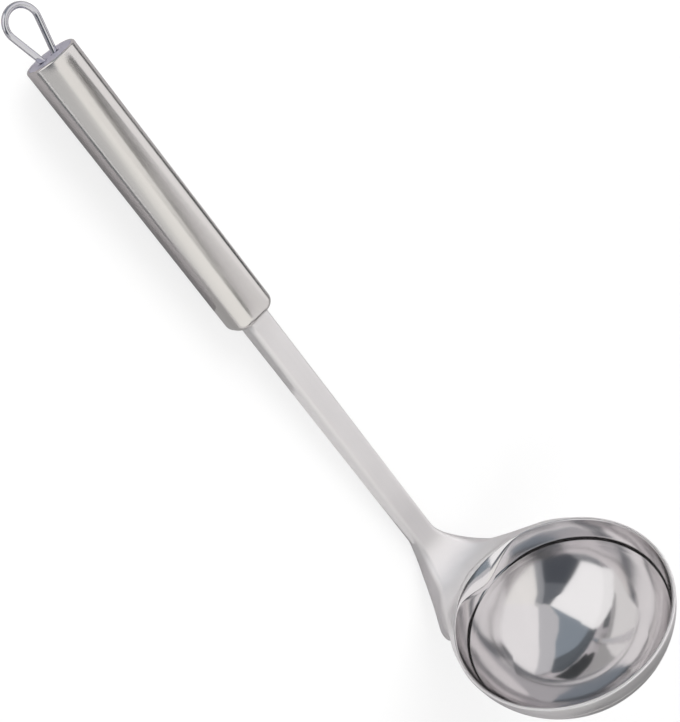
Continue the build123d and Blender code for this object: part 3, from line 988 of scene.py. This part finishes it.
def steels():
    """The materials by name, made at the first call."""
    if STEEL_NAMES[0] not in bpy.data.materials:
        f = bpy.context.scene.ladle_finish
        places = Places()
        brushed, polished = brushed_group(), polished_group()
        along = (0.0, places.tilt, 0.0)
        mouth = places.mouth_matrix()
        to_mouth = tuple(mouth.to_3x3().inverted().to_euler())
        steel("satin_sheet", brushed, f.sheet_colour, 0.10, {
            "Turn": along, "Roughness": f.sheet_roughness, "Grain": 0.5, "Cloud": 0.6
        }, SATIN_METALLIC)
        steel("polished_bowl", polished, f.polished_colour, 0.2, {
            "Turn": to_mouth, "Centre": tuple(mouth.translation), "Roughness": f.polished_roughness, "Rings": 0.5,
            "Smudge": 0.5, "Rim Blur": 0.05, "Wave": 100.0,
        })
        steel("brushed_handle", brushed, f.handle_colour, 0.10, {
            "Turn": along, "Stretch": (30.0, 4200.0, 4200.0), "Roughness": f.handle_roughness, "Grain": 0.8,
            "Cloud": 0.4,
        })
        steel("cap_steel", brushed, f.cap_colour, 0.15, {
            "Turn": (0.0, places.tilt, 0.6), "Stretch": (900.0,) * 3, "Roughness": f.cap_roughness, "Grain": 0.6
        })
        steel("wire_chrome", polished, f.wire_colour, 0.2, {
            "Roughness": f.wire_roughness, "Rings": 0.4, "Smudge": 0.8, "Wave": 25.0
        })
        steel("bush_steel", brushed, f.bush_colour, 0.3, {"Turn": along, "Stretch": (300.0,) * 3, "Roughness": 0.5})
    return {name: bpy.data.materials[name] for name in STEEL_NAMES}


# Studio

def lamp(name, place, target, size, power, tint):
    """A soft rectangular lamp that faces a place and doesn't show in reflections."""
    data = bpy.data.lights.new(name, "AREA")
    data.shape = "RECTANGLE"
    data.size, data.size_y = size
    data.energy = power
    data.color = tint
    thing = new_object(name, data)
    thing.location = place
    thing.rotation_euler = (Vector(target) - thing.location).to_track_quat("-Z", "Y").to_euler()
    thing.visible_glossy = False
    return thing


def flat_piece(name, corners, material):
    """One flat face of the stage."""
    mesh = bpy.data.meshes.new(name)
    mesh.from_pydata(corners, [], [tuple(range(len(corners)))])
    mesh.materials.append(material)
    return new_object(name, mesh)


def card(name, strength, tint, corners):
    """A card that shows only in reflections: bright or dark."""
    material = bpy.data.materials.new(name)
    tree = bare_tree(material)
    glow = node(tree, "ShaderNodeEmission", {"Color": (*tint, 1.0), "Strength": strength})
    node(tree, "ShaderNodeOutputMaterial", {"Surface": glow.outputs[0]})
    thing = flat_piece(name, corners, material)
    thing.visible_camera = False
    thing.visible_diffuse = False
    thing.visible_shadow = False
    return thing


def seen_from_bowl(azimuth, elevation, far):
    """Corner of a card at an azimuth and elevation in degrees; on the floor where the elevation is below zero."""
    eye = Vector(BOWL_EYE)
    turn, rise = radians(azimuth), radians(elevation)
    distance = (eye.z - MM) / sin(-rise) if elevation < 0 else far
    return eye + Vector((cos(turn) * cos(rise), sin(turn) * cos(rise), sin(rise))) * distance


def mixed_shader(tree, part, first, second):
    """Mix of two shaders by the part of the second."""
    return node(tree, "ShaderNodeMixShader", {"Fac": part, 1: first.outputs[0], 2: second.outputs[0]})


def floor_material(settings):
    """Floor that is white to the camera but for a share of the object's soft shadow, and grey in reflections."""
    material = bpy.data.materials.new("studio_floor")
    tree = bare_tree(material)
    path = node(tree, "ShaderNodeLightPath").outputs
    paint = node(tree, "ShaderNodeBsdfDiffuse", {"Color": (*settings.floor_colour, 1.0)})
    dull = node(tree, "ShaderNodeBsdfDiffuse", {"Color": (*settings.reflected_floor, 1.0)})
    glow = node(tree, "ShaderNodeEmission", {"Color": (1.0, 1.0, 1.0, 1.0), "Strength": 1.0})
    away = vectors(tree, "LENGTH", {0: node(tree, "ShaderNodeTexCoord").outputs["Object"]}, "Value")
    white = ramp(tree, away, *SHADOW_FADE, 1 - settings.floor_shadow)
    plain = maths(tree, "MAXIMUM", path["Is Camera Ray"], path["Is Transmission Ray"])
    lit = mixed_shader(tree, path["Is Glossy Ray"], paint, dull)
    seen = mixed_shader(tree, maths(tree, "MULTIPLY", plain, white), lit, glow)
    node(tree, "ShaderNodeOutputMaterial", {"Surface": seen.outputs[0]})
    return material


def studio_world(settings):
    """Even light all round that is white to the camera."""
    world = bpy.data.worlds.new("studio")
    tree = bare_tree(world)
    path = node(tree, "ShaderNodeLightPath").outputs
    white = (1.0, 1.0, 1.0, 1.0)
    even = node(tree, "ShaderNodeBackground", {"Color": white, "Strength": settings.world_light})
    plain = node(tree, "ShaderNodeBackground", {"Color": white, "Strength": 1.0})
    mixed = mixed_shader(tree, path["Is Camera Ray"], even, plain)
    node(tree, "ShaderNodeOutputWorld", {"Surface": mixed.outputs[0]})
    return world


def studio_camera(settings):
    """The camera at the photograph's angle."""
    data = bpy.data.cameras.new("photo_camera")
    data.sensor_fit = "VERTICAL"
    data.sensor_height = SENSOR_HEIGHT
    data.lens = settings.lens
    camera = new_object("photo_camera", data)
    camera.location = CAMERA_PLACE
    camera.rotation_euler = [radians(angle) for angle in CAMERA_TURN]
    return camera


# Operators

class LADLE_OT_sheet(bpy.types.Operator):
    """Build the pressed sheet: bowl, lip, neck and shank"""

    bl_idname = "ladle.sheet"
    bl_label = "Pressed Sheet"

    def execute(self, context):
        places = Places()
        made = steels()
        points, faces, finishes = build_sheet(places)
        materials = (made["satin_sheet"], made["polished_bowl"])
        place = places.mouth_matrix()
        new_piece("pressed_sheet", points, faces, place, materials, "bowl_and_shank", finishes)
        return {"FINISHED"}


class LADLE_OT_handle(bpy.types.Operator):
    """Build the hollow handle"""

    bl_idname = "ladle.handle"
    bl_label = "Handle"

    def execute(self, context):
        places = Places()
        points, faces = build_handle(places)
        materials = (steels()["brushed_handle"],)
        new_piece("handle", points, faces, places.handle_matrix(), materials, "handle_tube")
        return {"FINISHED"}


class LADLE_OT_cap(bpy.types.Operator):
    """Build the end cap with its two wire holes"""

    bl_idname = "ladle.cap"
    bl_label = "End Cap"

    def execute(self, context):
        places = Places()
        points, faces = build_cap(places)
        materials = (steels()["cap_steel"],)
        new_piece("cap_disc", points, faces, places.loop_matrix(), materials, "end_cap")
        return {"FINISHED"}


class LADLE_OT_loop(bpy.types.Operator):
    """Build the wire loop"""

    bl_idname = "ladle.loop"
    bl_label = "Hanging Loop"

    def execute(self, context):
        places = Places()
        loop = places.loop
        path = loop_path(places)
        mesh = bpy.data.meshes.new("wire_path")
        mesh.from_pydata(path, [(k, k + 1) for k in range(len(path) - 1)], [])
        mesh.transform(places.loop_matrix())
        chrome = steels()["wire_chrome"]
        values = {"Wire Radius": loop.wire / 2, "Rounds": loop.rounds, "Steps": loop.steps, "Material": chrome}
        made_by_nodes("wire_loop", mesh, wire_tree(), values, "hanging_loop")
        return {"FINISHED"}


class LADLE_OT_bush(bpy.types.Operator):
    """Give the block inside the handle its steel"""

    bl_idname = "ladle.bush"
    bl_label = "Tang Bush"

    def execute(self, context):
        bush = bpy.data.objects["tang_bush"]
        bush.data.materials.clear()
        bush.data.materials.append(steels()["bush_steel"])
        return {"FINISHED"}


class LADLE_OT_stage(bpy.types.Operator):
    """Build the floor, the lamps and the camera"""

    bl_idname = "ladle.stage"
    bl_label = "Studio"

    def execute(self, context):
        scene = context.scene
        settings = scene.ladle_stage
        corners = [(x * FLOOR_REACH, y * FLOOR_REACH, -FLOOR_GAP) for x, y in ((-1, -1), (1, -1), (1, 1), (-1, 1))]
        staged = [flat_piece("floor", corners, floor_material(settings))]
        staged += [lamp(*values) for values in LAMPS]
        for name, strength, tint, corners in FAR_CARDS:
            far = PANEL_DISTANCE if name == "panel" else CARD_DISTANCE
            staged.append(card(name, strength, tint, [seen_from_bowl(*corner, far) for corner in corners]))
        staged.append(card(*ZENITH))
        for name, strength, tint, height, corners in FLOOR_CARDS:
            staged.append(card(name, strength, tint, [(x, y, height) for x, y in corners]))
        scene.world = studio_world(settings)
        scene.camera = studio_camera(settings)
        staged.append(scene.camera)
        scene.view_settings.view_transform = "Standard"
        return {"FINISHED"}


class LADLE_PT_panel(bpy.types.Panel):
    """Settings and build buttons of the ladle"""

    bl_label = "Soup Ladle"
    bl_idname = "LADLE_PT_panel"
    bl_space_type = "VIEW_3D"
    bl_region_type = "UI"
    bl_category = "Ladle"

    def draw(self, context):
        layout = self.layout
        for label, holder in SETTINGS.items():
            box = layout.box()
            box.label(text=label[len("ladle_"):].title())
            for name in holder.__annotations__:
                box.prop(getattr(context.scene, label), name)
        for operator in OPERATORS:
            layout.operator(operator.bl_idname)


SETTINGS = {
    "ladle_sheet": LadleSheetSettings,
    "ladle_handle": LadleHandleSettings,
    "ladle_loop": LadleLoopSettings,
    "ladle_finish": LadleFinishSettings,
    "ladle_stage": LadleStageSettings,
}
OPERATORS = (LADLE_OT_sheet, LADLE_OT_handle, LADLE_OT_cap, LADLE_OT_loop, LADLE_OT_bush, LADLE_OT_stage)


def register():
    """Register the settings, the operators and the panel."""
    for label, holder in SETTINGS.items():
        bpy.utils.register_class(holder)
        setattr(bpy.types.Scene, label, bpy.props.PointerProperty(type=holder))
    for kind in OPERATORS + (LADLE_PT_panel,):
        bpy.utils.register_class(kind)


def unregister():
    """Take the panel, the operators and the settings away again."""
    for kind in reversed(OPERATORS + (LADLE_PT_panel,)):
        bpy.utils.unregister_class(kind)
    for label, holder in SETTINGS.items():
        delattr(bpy.types.Scene, label)
        bpy.utils.unregister_class(holder)


def main():
    """Build every piece and the stage."""
    register()
    bpy.ops.ladle.sheet()
    bpy.ops.ladle.handle()
    bpy.ops.ladle.cap()
    bpy.ops.ladle.loop()
    bpy.ops.ladle.bush()
    bpy.ops.ladle.stage()


if __name__ == "__main__":
    main()
